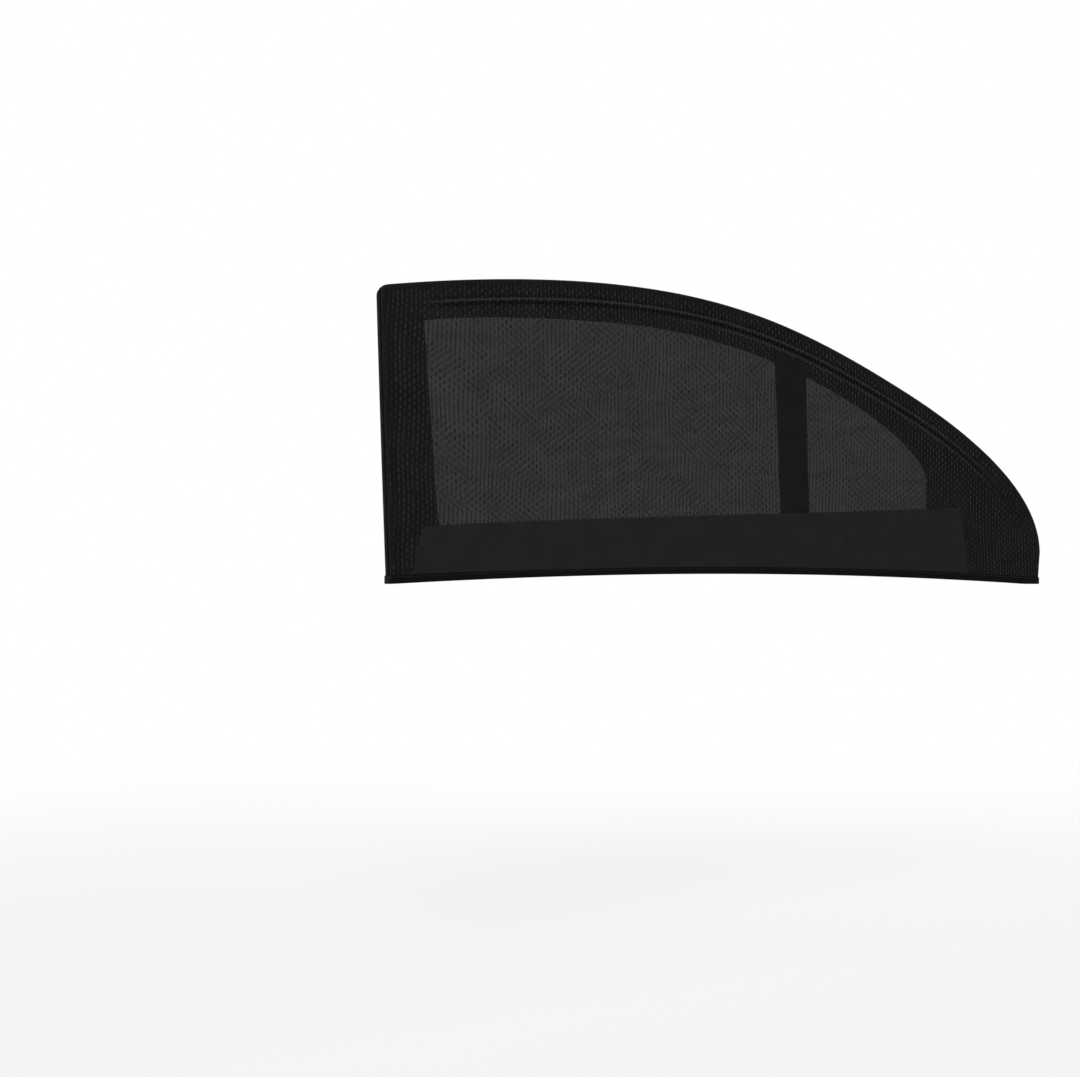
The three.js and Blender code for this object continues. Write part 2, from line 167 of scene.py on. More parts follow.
# %% From the pattern to the fitted shape
DEPTH = 36.0
HALF_DEPTH = DEPTH / 2
ROLL = 8.0
CROWN_SAG = 12.0
TOP_LEAN = 6.0
MOUTH_RISE = 15.0
RISE_FADE = 110.0
CREASE = 28.0                 # first crest, from the outline
CREASE_PITCH = 5.5            # from a crest to the next dip
CREASE_START, CREASE_GROWN = 20, 90             # from the rear end
CREASE_FLOOR = 150                              # below this height the creases fade away
LIGHT_FLOOR, LIGHT_GROWN = 120, 250             # heights between which their shading grows
SECOND_CREST_GROWTH = 260                       # past the crown
FIRST_CREST, SECOND_CREST, DIP = 2.4, 1.5, 0.6  # heights
SLACK_END, STRETCHED_START = 9, 15              # insets at the edge seam


def settle(x, depth, z):
    """Millimetres in the pattern to metres in the fitted sleeve."""
    across = x / FRONT_X
    rise = MOUTH_RISE * np.clip(1 - across ** 2, 0, None) * np.clip(1 - z / RISE_FADE, 0, None)
    bent = depth - CROWN_SAG * across ** 2 - TOP_LEAN * (z / SLEEVE_HEIGHT) ** 2
    return np.stack([x, bent, z + rise], axis=-1) * MM


def smooth(low, high, value):
    t = np.clip((value - low) / (high - low), 0, 1)
    return t * t * (3 - 2 * t)


def crest_shape(offset, width):
    """A soft ridge, 1 on its line and falling away beside it."""
    return np.exp(-(offset / width) ** 2)


def crease_lift(inset, x, z):
    """How far the creases lift the net, in millimetres."""
    fade = smooth(CREASE_START, CREASE_GROWN, x - REAR_X) * smooth(UPRIGHT, CREASE_FLOOR, z)
    second = smooth(0, SECOND_CREST_GROWTH, x - CROWN[0])
    first_crest = FIRST_CREST * crest_shape(inset - CREASE, 3.0)
    dip = -DIP * crest_shape(inset - CREASE - CREASE_PITCH, 1.8)
    second_crest = SECOND_CREST * second * crest_shape(inset - CREASE - 2 * CREASE_PITCH, 2.8)
    return fade * (first_crest + dip + second_crest)


def painted_crease_light(inset, x, z):
    """1 along a crest, -1 beside it: a painted highlight along each crest, painted shade beside it."""
    fade = smooth(CREASE_START, CREASE_GROWN, x - REAR_X) * smooth(LIGHT_FLOOR, LIGHT_GROWN, z)
    second = smooth(0, SECOND_CREST_GROWTH, x - CROWN[0])
    first_crest = crest_shape(inset - CREASE - 0.4, 1.5)
    second_crest = 0.8 * second * crest_shape(inset - CREASE - 2 * CREASE_PITCH, 1.4)
    # The dips are painted shade beside the crests.
    dips = crest_shape(inset - CREASE + 3.6, 2.2) + crest_shape(inset - CREASE - CREASE_PITCH, 2.4)
    return fade * (first_crest + second_crest - dips)


def slackness(inset):
    """1 at the edge seam, where the net is hardly stretched and its pores stay closed."""
    return 1 - smooth(SLACK_END, STRETCHED_START, inset)


def distance_to(line, points):
    """Distance of each point to a line, and the direction away from the line."""
    start, end = line[:-1], line[1:]
    leg = end - start
    best = np.full(len(points), np.inf)
    away = np.zeros((len(points), 2))
    for a, d in zip(start, leg):
        t = np.clip(((points - a) @ d) / max(d @ d, 1e-9), 0, 1)[:, None]
        gap = points - a - t * d
        length = np.linalg.norm(gap, axis=1)
        closer = length < best
        best[closer] = length[closer]
        away[closer] = gap[closer] / np.maximum(length[closer], 1e-9)[:, None]
    return best, away


# %% [markdown]
# ## Building meshes
# Each piece is made from numbers: rows of rings for what follows the edge, and a triangulated field
# inside the last ring. Blender's constrained Delaunay triangulation fills the field evenly.

# %% Mesh helpers
CLEARANCE = 0.6               # free field points keep this share of their spacing from every line
MOUTH_STEPS = 80


def make_piece(name, vertices, faces, cloths, node=None, pattern=None, kinds=None, marks=None):
    """A mesh object. Its marks are named numbers, one for each point, that its materials read."""
    mesh = bpy.data.meshes.new(name)
    mesh.from_pydata([tuple(v) for v in vertices], [], [tuple(int(i) for i in f) for f in faces])
    for cloth in cloths:
        mesh.materials.append(cloth)
    if kinds is not None:
        mesh.polygons.foreach_set("material_index", np.asarray(kinds, dtype=np.int32))
    if pattern is not None:
        layer = mesh.attributes.new("pattern", "FLOAT_VECTOR", "POINT")
        flat = np.zeros((len(vertices), 3), dtype=np.float32)
        flat[:, :pattern.shape[1]] = pattern * MM
        layer.data.foreach_set("vector", flat.ravel())
    for mark, values in (marks or {}).items():
        mesh.attributes.new(mark, "FLOAT", "POINT").data.foreach_set("value", values.astype(np.float32))
    mesh.shade_smooth()
    mesh.update()
    piece = bpy.data.objects.new(name, mesh)
    bpy.context.collection.objects.link(piece)
    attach(piece, "root")
    if node:
        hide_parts(node)
    print(name, len(mesh.vertices), "points", len(mesh.polygons), "faces")
    return piece


def grid_faces(rows, columns, closed=False):
    row, column = np.meshgrid(np.arange(rows - 1), np.arange(columns if closed else columns - 1))
    row, column = row.ravel(), column.ravel()
    a = row * columns + column
    b = row * columns + (column + 1) % columns
    return np.stack([a, a + columns, b + columns, b], axis=1)


def points_inside(points, closed):
    inside = np.zeros(len(points), dtype=bool)
    for (x1, z1), (x2, z2) in zip(closed[:-1], closed[1:]):
        if z1 == z2:
            continue
        crosses = (z1 > points[:, 1]) != (z2 > points[:, 1])
        inside ^= crosses & (points[:, 0] < (x2 - x1) * (points[:, 1] - z1) / (z2 - z1) + x1)
    return inside


def fill_field(contour, holes, spacing):
    """Triangles of a flat field, with points inside it at a given spacing."""
    low, high = contour.min(axis=0), contour.max(axis=0)
    xs = np.arange(low[0], high[0], spacing)
    zs = np.arange(low[1], high[1], spacing)
    inside = np.stack(np.meshgrid(xs, zs), axis=-1).reshape(-1, 2)
    for line in [contour, *holes]:
        closed = np.vstack([line, line[:1]])
        inside = inside[distance_to(closed, inside)[0] > spacing * CLEARANCE]
    points = [Vector(p) for p in np.vstack([contour, *holes, inside])]
    edges = []
    start = 0
    for line in [contour, *holes]:
        count = len(line)
        edges += [(start + i, start + (i + 1) % count) for i in range(count)]
        start += count
    found, _, faces, *_ = delaunay_2d_cdt(points, edges, [], 0, 1e-6)
    found = np.array([tuple(p) for p in found])
    corners = np.array([tuple(f) for f in faces])
    middles = found[corners].mean(axis=1)
    kept = points_inside(middles, np.vstack([contour, contour[:1]]))
    for line in holes:
        kept &= ~points_inside(middles, np.vstack([line, line[:1]]))
    corners = corners[kept]
    a, b, c = found[corners[:, 0]], found[corners[:, 1]], found[corners[:, 2]]
    turn = (b[:, 0] - a[:, 0]) * (c[:, 1] - a[:, 1]) - (b[:, 1] - a[:, 1]) * (c[:, 0] - a[:, 0])
    corners[turn < 0] = corners[turn < 0][:, ::-1]
    return found, corners


def ringed_sheet(rows, bottom, holes, spacing):
    """Rings (inset, depth), then a field at the last ring's depth: x, depth, z and faces."""
    rings = [ring(inset, bottom) for inset, _ in rows]
    columns = len(rings[0])
    parts = []
    for (inset, depth), line in zip(rows, rings):
        lift = crease_lift(inset, line[:, 0], line[:, 1])
        parts.append(np.stack([line[:, 0], depth + lift, line[:, 1]], axis=1))
    edge = rings[-1]
    mouth = np.linspace(edge[-1], edge[0], MOUTH_STEPS)[1:-1]
    found, corners = fill_field(np.vstack([edge, mouth]), holes, spacing)
    start = len(rows) * columns
    flat = np.stack([found[:, 0], np.full(len(found), rows[-1][1]), found[:, 1]], axis=1)
    faces = [tuple(f) for f in grid_faces(len(rows), columns)]
    faces += [tuple(f + start) for f in corners]
    return np.vstack([*parts, flat]), faces


# %% [markdown]
# ## Colours and nodes
# Colours are written as they look on a screen and turned to linear light by one function. One small
# function adds a node with its settings and its links, and each material is a short list of such nodes.

# %% Material helpers
def linear(hex_colour):
    parts = [int(hex_colour[i:i + 2], 16) / 255 for i in (1, 3, 5)]
    return tuple(c / 12.92 if c <= 0.04045 else ((c + 0.055) / 1.055) ** 2.4 for c in parts) + (1.0,)


def add_node(tree, kind, settings=None, inputs=None):
    """A node, with its settings, and its inputs set to a value or linked to another node's output."""
    node = tree.nodes.new(kind)
    for name, value in (settings or {}).items():
        setattr(node, name, value)
    for name, value in (inputs or {}).items():
        if isinstance(value, bpy.types.NodeSocket):
            tree.links.new(value, node.inputs[name])
        else:
            node.inputs[name].default_value = value
    return node


def new_cloth(name, roughness, sheen=0.0):
    cloth = bpy.data.materials.new(name)
    cloth.use_nodes = True
    shader = cloth.node_tree.nodes["Principled BSDF"]
    shader.inputs["Roughness"].default_value = roughness
    shader.inputs["IOR"].default_value = 1.5
    shader.inputs["Specular IOR Level"].default_value = 0.05
    shader.inputs["Sheen Weight"].default_value = sheen
    shader.inputs["Sheen Roughness"].default_value = 0.5
    return cloth, cloth.node_tree, shader


def colour_ramp(tree, value, stops):
    ramp = add_node(tree, "ShaderNodeValToRGB", inputs={"Fac": value})
    for i, (place, colour) in enumerate(stops):
        element = ramp.color_ramp.elements[i] if i < 2 else ramp.color_ramp.elements.new(place)
        element.position = place
        element.color = linear(colour)
    return ramp.outputs["Color"]


# %% [markdown]
# ## Net yarn
# The net is warp-knitted polyester, dyed black. Its yarn has a soft, slightly lustrous surface. Between
# the ribs of stitches the yarn crosses in a fine web with pores well under a millimetre, too fine to
# draw one by one, so the web lets that share of the light through. The web is a little more open
# between the ribs. The real stitches are about 2 mm apart; they are drawn about 6 mm apart, as they
# read in the photograph.

# %% Net materials
STITCH_X = 6.1                # millimetres from rib to rib
STITCH_Z = 8.9                # and from stitch to stitch along a rib
OUTER_STITCH_X = STITCH_X * 1.08    # the outer net is stretched a little more
OUTER_STITCH_Z = STITCH_Z * 1.12
WEB_COVER_UNDER_RIB = 0.86    # share of the light that the web stops
WEB_COVER_BETWEEN = 0.832
WEB_COVER_SLACK = 0.985
WEB_UNEVEN = 0.02


def with_painted_light(tree, colour, crest):
    """The colour with a painted highlight on the crests, painted shade beside them and at the rolled
    edge.
    """
    crease_highlight_and_shade = add_node(tree, "ShaderNodeAttribute", {"attribute_name": "crease_highlight_and_shade"})
    slack_and_edge_shade = add_node(tree, "ShaderNodeAttribute", {"attribute_name": "slack_and_edge_shade"})
    # Painted highlight: the crest colour is mixed in along the crests.
    painted_crest_highlight = add_node(tree, "ShaderNodeMix", {"data_type": "RGBA"}, {"Factor": crease_highlight_and_shade.outputs["Fac"]})
    tree.links.new(colour, painted_crest_highlight.inputs[6])
    painted_crest_highlight.inputs[7].default_value = linear(crest)
    # Painted shade beside the crests: the colour drops to 0.35 in the dips.
    dark = add_node(tree, "ShaderNodeMapRange", inputs={
        "Value": crease_highlight_and_shade.outputs["Fac"], "From Min": -1.0, "From Max": 0.0, "To Min": 0.35, "To Max": 1.0,
    })
    # Painted shade: the colour falls to 0.6 on the rolled edge, where the slack mark is 1.
    edge = add_node(tree, "ShaderNodeMapRange", inputs={
        "Value": slack_and_edge_shade.outputs["Fac"], "To Min": 1.0, "To Max": 0.6,
    })
    both = add_node(tree, "ShaderNodeMath", {"operation": "MULTIPLY"})
    tree.links.new(dark.outputs["Result"], both.inputs[0])
    tree.links.new(edge.outputs["Result"], both.inputs[1])
    shade = add_node(tree, "ShaderNodeVectorMath", {"operation": "SCALE"}, {
        "Scale": both.outputs["Value"],
    })
    tree.links.new(painted_crest_highlight.outputs[2], shade.inputs[0])
    return shade.outputs["Vector"]


def net_web(name, pitch_x, pitch_z):
    cloth, tree, shader = new_cloth(name, 0.75)
    place = add_node(tree, "ShaderNodeAttribute", {"attribute_name": "pattern"})
    split = add_node(tree, "ShaderNodeSeparateXYZ", inputs={"Vector": place.outputs["Vector"]})
    along = add_node(tree, "ShaderNodeCombineXYZ", inputs={
        "X": split.outputs["Y"], "Y": split.outputs["X"],
    })
    bricks = add_node(tree, "ShaderNodeTexBrick", {"offset": 0.5, "offset_frequency": 2}, {
        "Vector": along.outputs["Vector"], "Scale": 1.0, "Mortar Size": 1.9 * MM,
        "Mortar Smooth": 0.8, "Brick Width": pitch_z * MM, "Row Height": pitch_x * MM,
    })
    patches = add_node(tree, "ShaderNodeTexNoise", inputs={
        "Vector": place.outputs["Vector"], "Scale": 18.0, "Detail": 2.0,
    })
    colour = colour_ramp(tree, patches.outputs["Fac"], [(0.3, "#161617"), (0.7, "#1b1b1c")])
    # The crest colour #363637 is a painted highlight along the creases.
    tree.links.new(with_painted_light(tree, colour, "#363637"), shader.inputs["Base Color"])
    cover = add_node(tree, "ShaderNodeMapRange", inputs={
        "Value": bricks.outputs["Fac"], "To Min": WEB_COVER_UNDER_RIB, "To Max": WEB_COVER_BETWEEN,
    })
    flattened = add_node(tree, "ShaderNodeVectorMath", {"operation": "MULTIPLY"})
    tree.links.new(place.outputs["Vector"], flattened.inputs[0])
    flattened.inputs[1].default_value = (1.0, 3.2, 1.0)
    streaks = add_node(tree, "ShaderNodeTexNoise", inputs={
        "Vector": flattened.outputs["Vector"], "Scale": 24.0, "Detail": 3.0,
    })
    uneven = add_node(tree, "ShaderNodeMapRange", inputs={
        "Value": streaks.outputs["Fac"], "From Min": 0.3, "From Max": 0.7,
        "To Min": -WEB_UNEVEN, "To Max": WEB_UNEVEN,
    })
    patchy = add_node(tree, "ShaderNodeMath", {"operation": "ADD"})
    tree.links.new(cover.outputs["Result"], patchy.inputs[0])
    tree.links.new(uneven.outputs["Result"], patchy.inputs[1])
    slack_and_edge_shade = add_node(tree, "ShaderNodeAttribute", {"attribute_name": "slack_and_edge_shade"})
    closed = add_node(tree, "ShaderNodeMix", {"data_type": "FLOAT"}, {"Factor": slack_and_edge_shade.outputs["Fac"]})
    tree.links.new(patchy.outputs["Value"], closed.inputs[2])
    closed.inputs[3].default_value = WEB_COVER_SLACK
    tree.links.new(closed.outputs[0], shader.inputs["Alpha"])
    fine = add_node(tree, "ShaderNodeTexVoronoi", inputs={
        "Vector": place.outputs["Vector"], "Scale": 1 / (1.6 * MM),
    })
    bump = add_node(tree, "ShaderNodeBump", inputs={
        "Height": fine.outputs["Distance"], "Strength": 0.35, "Distance": 0.4 * MM,
    })
    tree.links.new(bump.outputs["Normal"], shader.inputs["Normal"])
    return cloth


def net_rib(name):
    cloth, tree, shader = new_cloth(name, 0.6, 0.05)
    place = add_node(tree, "ShaderNodeAttribute", {"attribute_name": "pattern"})
    patches = add_node(tree, "ShaderNodeTexNoise", inputs={
        "Vector": place.outputs["Vector"], "Scale": 150.0, "Detail": 2.0,
    })
    colour = colour_ramp(tree, patches.outputs["Fac"], [(0.32, "#171718"), (0.68, "#2e2e2f")])
    # The crest colour #303031 is a painted highlight along the creases.
    tree.links.new(with_painted_light(tree, colour, "#303031"), shader.inputs["Base Color"])
    twist = add_node(tree, "ShaderNodeTexWave", {"bands_direction": "DIAGONAL"}, {
        "Vector": place.outputs["Vector"], "Scale": 1 / (2.4 * MM), "Distortion": 1.0,
    })
    bump = add_node(tree, "ShaderNodeBump", inputs={
        "Height": twist.outputs["Fac"], "Strength": 0.5, "Distance": 0.3 * MM,
    })
    tree.links.new(bump.outputs["Normal"], shader.inputs["Normal"])
    return cloth


inner_web = net_web("polyester_net_fine_web_inner", STITCH_X, STITCH_Z)
outer_web = net_web("polyester_net_fine_web_outer", OUTER_STITCH_X, OUTER_STITCH_Z)
rib_yarn = net_rib("polyester_net_rib_yarn")

# %% [markdown]
# ## Net panels
# Each panel covers the whole window, rolls over at the edge and ends at the seam in the middle of the
# edge. The web is a smooth sheet with the creases in it. The ribs of stitches are small raised
# lozenges on it, in staggered columns, made all at once with arrays.

# %% Net panels
WALL_DEPTH = HALF_DEPTH - ROLL
NET_ROWS = [(0.0, 0.6), (0.0, WALL_DEPTH / 2)]
NET_ROWS += [
    (ROLL - ROLL * math.cos(a), WALL_DEPTH + ROLL * math.sin(a))
    for a in np.radians(np.linspace(0, 90, 8))
]
NET_ROWS += [(inset, HALF_DEPTH) for inset in (12, 16, 20, *np.arange(22, 46, 1.5), 48)]
NET_BOTTOM = 1.3
STITCH_WIDTH = {-1: 1.7, 1: 1.1}    # by side: inner, outer
STITCH_LENGTH = 7.6
STITCH_RISE = 0.55
RIB_SEED = 7
PULL = 3.2                    # how far uneven stretch moves the pattern, in millimetres
STITCH_CORNERS = [            # across, along and up, in shares of a stitch's width, length and rise
    (-1, 0.5, 0), (0, 1, 0), (1, 0.5, 0), (1, -0.5, 0),
    (0, -1, 0), (-1, -0.5, 0), (0, 0.45, 1), (0, -0.45, 1),
]
STITCH_FACES = [(0, 6, 1), (1, 6, 2), (2, 6, 7, 3), (3, 7, 4), (4, 7, 5), (5, 7, 6, 0)]


def stitch_centres(pitch_x, pitch_z):
    columns = np.arange(math.floor((REAR_X - 20) / pitch_x), math.ceil((FRONT_X + 10) / pitch_x))
    rows = np.arange(0, math.ceil(SLEEVE_HEIGHT / pitch_z) + 1)
    column, row = np.meshgrid(columns, rows)
    shift = np.where(column % 2 == 0, 0.0, 0.5)
    return np.stack([(column + 0.5) * pitch_x, (row + shift) * pitch_z], axis=-1).reshape(-1, 2)


def uneven_pull(points, seed):
    """Slow waves that shift the pattern, because the net is never stretched evenly."""
    draw = np.random.default_rng(seed)
    moved = points.copy()
    for length in (340.0, 190.0, 120.0, 75.0):
        for axis in (0, 1):
            turn = draw.uniform(0, 2 * np.pi)
            phase = draw.uniform(0, 2 * np.pi)
            wave = (points[:, 0] * np.cos(turn) + points[:, 1] * np.sin(turn)) * 2 * np.pi / length
            moved[:, axis] += PULL * (length / 340) ** 0.5 * 0.6 * np.sin(wave + phase)
    return moved


def stitch_ribs(side, pitch_x, pitch_z):
    """Points, pattern places and faces of all the raised stitches of one panel."""
    centres = uneven_pull(stitch_centres(pitch_x, pitch_z), RIB_SEED + side)
    closed = np.vstack([OUTLINE, OUTLINE[:1]])
    distance, away = distance_to(OUTLINE, centres)
    inside = points_inside(centres, closed) & (distance > 1.5) & (centres[:, 1] > NET_BOTTOM + 4)
    centres, distance, away = centres[inside], distance[inside], away[inside]
    light = painted_crease_light(distance, centres[:, 0], centres[:, 1])
    draw = np.random.default_rng(RIB_SEED)
    width = STITCH_WIDTH[side] / 2 * draw.uniform(0.85, 1.15, len(centres))
    length = STITCH_LENGTH / 2 * draw.uniform(0.92, 1.04, len(centres))
    rise = STITCH_RISE * draw.uniform(0.8, 1.2, len(centres)) * (1 - 0.6 * slackness(distance))
    corners = []
    for across, along, up in STITCH_CORNERS:
        spot = centres + np.stack([across * width, along * length], axis=1)
        raw = distance + ((spot - centres) * away).sum(axis=1)
        inset = np.clip(raw, 0.1, None)
        spot = spot + away * (inset - raw)[:, None]
        depth = panel_depth(inset, spot)
        tilt = np.clip((ROLL - inset) / ROLL, 0, 1)
        outward = -away * tilt[:, None]
        spot_up = spot + outward * (up * rise)[:, None]
        lifted = depth + up * rise * np.sqrt(1 - tilt ** 2) + 0.02
        corners.append(settle(spot_up[:, 0], side * lifted, spot_up[:, 1]))
    points = np.stack(corners, axis=1).reshape(-1, 3)
    each = len(STITCH_CORNERS)
    base = np.arange(len(centres)) * each
    faces = [tuple(b + i for i in face) for b in base for face in STITCH_FACES]
    if side > 0:
        faces = [face[::-1] for face in faces]
    # The crease mark carries painted light: a highlight on the crests, shade beside them.
    marks = {"crease_highlight_and_shade": np.repeat(light, each), "slack_and_edge_shade": np.repeat(slackness(distance), each)}
    return points, np.repeat(centres, each, axis=0), faces, marks


def panel_depth(inset, spot):
    on_roll = WALL_DEPTH + np.sqrt(np.clip(ROLL ** 2 - np.clip(ROLL - inset, 0, ROLL) ** 2, 0, None))
    return on_roll + crease_lift(inset, spot[:, 0], spot[:, 1])


def net_panel(name, node, side, web, pitch_x, pitch_z):
    sheet, faces = ringed_sheet(NET_ROWS, NET_BOTTOM, [], 14.0)
    if side > 0:
        faces = [face[::-1] for face in faces]
    web_points = settle(sheet[:, 0], side * sheet[:, 1], sheet[:, 2])
    rib_points, rib_pattern, rib_faces, rib_marks = stitch_ribs(side, pitch_x, pitch_z)
    flat = sheet[:, [0, 2]]
    inset = np.where(points_inside(flat, OUTLINE), distance_to(OUTLINE, flat)[0], 0.0)
    light = painted_crease_light(inset, sheet[:, 0], sheet[:, 2])
    # The crease mark carries painted light: a highlight on the crests, shade beside them.
    marks = {
        "crease_highlight_and_shade": np.concatenate([light, rib_marks["crease_highlight_and_shade"]]),
        "slack_and_edge_shade": np.concatenate([slackness(inset), rib_marks["slack_and_edge_shade"]]),
    }
    start = len(web_points)
    all_faces = faces + [tuple(start + i for i in face) for face in rib_faces]
    kinds = [0] * len(faces) + [1] * len(rib_faces)
    pattern = np.vstack([2 * flat - uneven_pull(flat, RIB_SEED + side), rib_pattern])
    points = np.vstack([web_points, rib_points])
    return make_piece(name, points, all_faces, [web, rib_yarn], node, pattern, kinds, marks)


inner_net = net_panel("inner_net", "inner_net_panel", -1, inner_web, STITCH_X, STITCH_Z)
outer_net = net_panel(
    "outer_net", "outer_net_panel", 1, outer_web, OUTER_STITCH_X, OUTER_STITCH_Z,
)

# %% [markdown]
# ## Border facing
# Behind the net lies a border of closed knit, cut as a frame round the see-through field. It keeps the
# border dark. It is a single sheet with one large hole.

# %% Border facing
BAND_REAR_TOP = (REAR_X + 40, 75.0)
BAND_FRONT_TOP = (FRONT_X - 163, 122.0)
BAND_REAR_FOOT = REAR_X + 28
BAND_FRONT_FOOT = FRONT_X - 148
HEM_HEIGHT = 11.0
SEWN_GAP = 0.3
BEHIND_NET = 1.3              # from the net's face to the facing's
RIM_AT_REAR_CORNER_TOP = 2.5  # what is left of the facing between the creases and the opening
RIM_AT_REAR_CORNER = 9
RIM_AT_REAR_FOOT = 20.5
RIM_AT_CROWN = 4.5
OPENING_CROWN_ADVANCE = 28    # its highest point lies ahead of the outline's
OPENING_NOSE = (FRONT_X - 202, 167.0)
OPENING_CORNER_LEG = 12
OPENING_REAR_HANDLE = 100
OPENING_CROWN_HANDLE = 284
OPENING_NOSE_HANDLE = 60
OPENING_LAP = 4               # it ends this far behind the band's top edge


def band_top(x):
    return np.interp(x, [BAND_REAR_TOP[0], BAND_FRONT_TOP[0]], [BAND_REAR_TOP[1], BAND_FRONT_TOP[1]])


def opening_line():
    field = CREASE + 3 * CREASE_PITCH
    corner = inset_line(controls(0.0), field + RIM_AT_REAR_CORNER_TOP)[2]
    rear_top = np.array(step(corner, RIM_AT_REAR_CORNER, REAR_SLOPE))
    foot_x = REAR_X + field + RIM_AT_REAR_FOOT
    rear_foot = np.array([foot_x, band_top(foot_x) - OPENING_LAP])
    crown = np.array([CROWN[0] + OPENING_CROWN_ADVANCE, SLEEVE_HEIGHT - field - RIM_AT_CROWN])
    nose = np.array(OPENING_NOSE)
    nose_foot = np.array([nose[0], band_top(nose[0]) - OPENING_LAP])
    rear_guide = np.array(step(rear_top, OPENING_REAR_HANDLE, REAR_SLOPE))
    before_crown = np.array(step(crown, OPENING_REAR_HANDLE, 180))
    after_crown = np.array(step(crown, OPENING_CROWN_HANDLE, 0))
    above_nose = np.array(step(nose, OPENING_NOSE_HANDLE, 90))
    corner_start = toward(rear_top, rear_foot, OPENING_CORNER_LEG)
    corner_end = toward(rear_top, rear_guide, OPENING_CORNER_LEG)
    return np.vstack([
        bezier([rear_foot, corner_start], 20),
        bezier([corner_start, rear_top, corner_end], 6),
        bezier([corner_end, rear_guide, before_crown, crown], 20),
        bezier([crown, after_crown, above_nose, nose], 60),
        bezier([nose, nose_foot], 4),
        bezier([nose_foot, rear_foot], 60),
    ])


OPENING = opening_line()


def closed_knit(name):
    cloth, tree, shader = new_cloth(name, 0.95)
    place = add_node(tree, "ShaderNodeAttribute", {"attribute_name": "pattern"})
    loops = add_node(tree, "ShaderNodeTexVoronoi", inputs={
        "Vector": place.outputs["Vector"], "Scale": 1 / (1.8 * MM),
    })
    colour = colour_ramp(tree, loops.outputs["Distance"], [(0.2, "#131313"), (0.9, "#080808")])
    tree.links.new(colour, shader.inputs["Base Color"])
    bump = add_node(tree, "ShaderNodeBump", inputs={
        "Height": loops.outputs["Distance"], "Strength": 0.4, "Distance": 0.4 * MM,
    })
    tree.links.new(bump.outputs["Normal"], shader.inputs["Normal"])
    return cloth


facing_cloth = closed_knit("polyester_closed_knit")


def border_facing(name, node, side):
    depth = HALF_DEPTH - BEHIND_NET
    rows = [(inset, depth) for inset in (11, 16, 20, *np.arange(22, 44, 1.5), 44.5)]
    sheet, faces = ringed_sheet(rows, HEM_HEIGHT + SEWN_GAP, [OPENING], 16.0)
    if side > 0:
        faces = [face[::-1] for face in faces]
    points = settle(sheet[:, 0], side * sheet[:, 1], sheet[:, 2])
    return make_piece(name, points, faces, [facing_cloth], node, sheet[:, [0, 2]])


inner_facing = border_facing("inner_facing", "inner_border_facing", -1)
outer_facing = border_facing("outer_facing", "outer_border_facing", 1)

# %% [markdown]
# ## Plain woven tape
# The divider and the lower band are closely woven polyester, dyed black and matt. The weave gives a
# faint grain and slightly uneven dye. The real threads are about 0.4 mm apart and would vanish in the
# picture, so they are drawn 1.2 mm apart.

# %% Plain woven tape
WEAVE = 1.2


def woven_tape(name, dark, light):
    cloth, tree, shader = new_cloth(name, 0.9)
    place = add_node(tree, "ShaderNodeAttribute", {"attribute_name": "pattern"})
    weave = add_node(tree, "ShaderNodeTexBrick", {"offset": 0.5, "offset_frequency": 2}, {
        "Vector": place.outputs["Vector"], "Scale": 1.0, "Mortar Size": 0.3 * MM,
        "Mortar Smooth": 1.0, "Brick Width": 2 * WEAVE * MM, "Row Height": WEAVE * MM,
    })
    dye = add_node(tree, "ShaderNodeTexNoise", inputs={
        "Vector": place.outputs["Vector"], "Scale": 22.0, "Detail": 8.0, "Roughness": 0.7,
    })
    colour = colour_ramp(tree, dye.outputs["Fac"], [(0.3, dark), (0.7, light)])
    thread = add_node(tree, "ShaderNodeMapRange", inputs={
        "Value": weave.outputs["Fac"], "To Min": 1.0, "To Max": 0.72,
    })
    shade = add_node(tree, "ShaderNodeVectorMath", {"operation": "SCALE"}, {
        "Scale": thread.outputs["Result"],
    })
    tree.links.new(colour, shade.inputs[0])
    tree.links.new(shade.outputs["Vector"], shader.inputs["Base Color"])
    crossing = add_node(tree, "ShaderNodeBump", {"invert": True}, {
        "Height": weave.outputs["Fac"], "Strength": 0.5, "Distance": 0.25 * MM,
    })
    tree.links.new(crossing.outputs["Normal"], shader.inputs["Normal"])
    return cloth


divider_tape = woven_tape("polyester_woven_tape_divider", "#161616", "#1c1c1c")
band_tape = woven_tape("polyester_woven_tape_band", "#1f1f1f", "#262626")

# %% [markdown]
# ## Divider and lower band
# Both are strips laid on the face of the net, with their raw edges folded under and sewn down. The
# fold makes the edges a little thicker than the middle, and the thread puckers them. A grid with a
# profile across it gives the folded edges, and the sheet is closed at the back.

# %% Strips
FACE = HALF_DEPTH
TAPE_LOW = FACE + SEWN_GAP
TAPE_HIGH = TAPE_LOW + 0.8
FOLD = 6.0
PUCKER_PITCH = 8.0
PUCKER_REACH = 5              # how far the puckers run in from the edge
PUCKER_SHARE = 0.11           # of the strip's thickness


def spaced(length, fold, inner_count):
    """Places across a strip, dense at the rounded edges and at the inner end of the folds."""
    left = [0, 0.35, 0.9, 1.8, 3.2, fold - 0.5, fold + 0.5, fold + 1.6]
    middle = np.linspace(fold + 4, length - fold - 4, inner_count)
    return np.array([*left, *middle, *[length - v for v in left[::-1]]])


def edge_profile(distance, fold):
    """Height of a folded edge, in millimetres above the strip's back, by distance from the edge."""
    round_edge = 0.74 * np.sqrt(np.clip(1 - (1 - np.clip(distance / 0.9, 0, 1)) ** 2, 0, 1))
    return round_edge - 0.22 * smooth(fold - 0.5, fold + 0.5, distance)


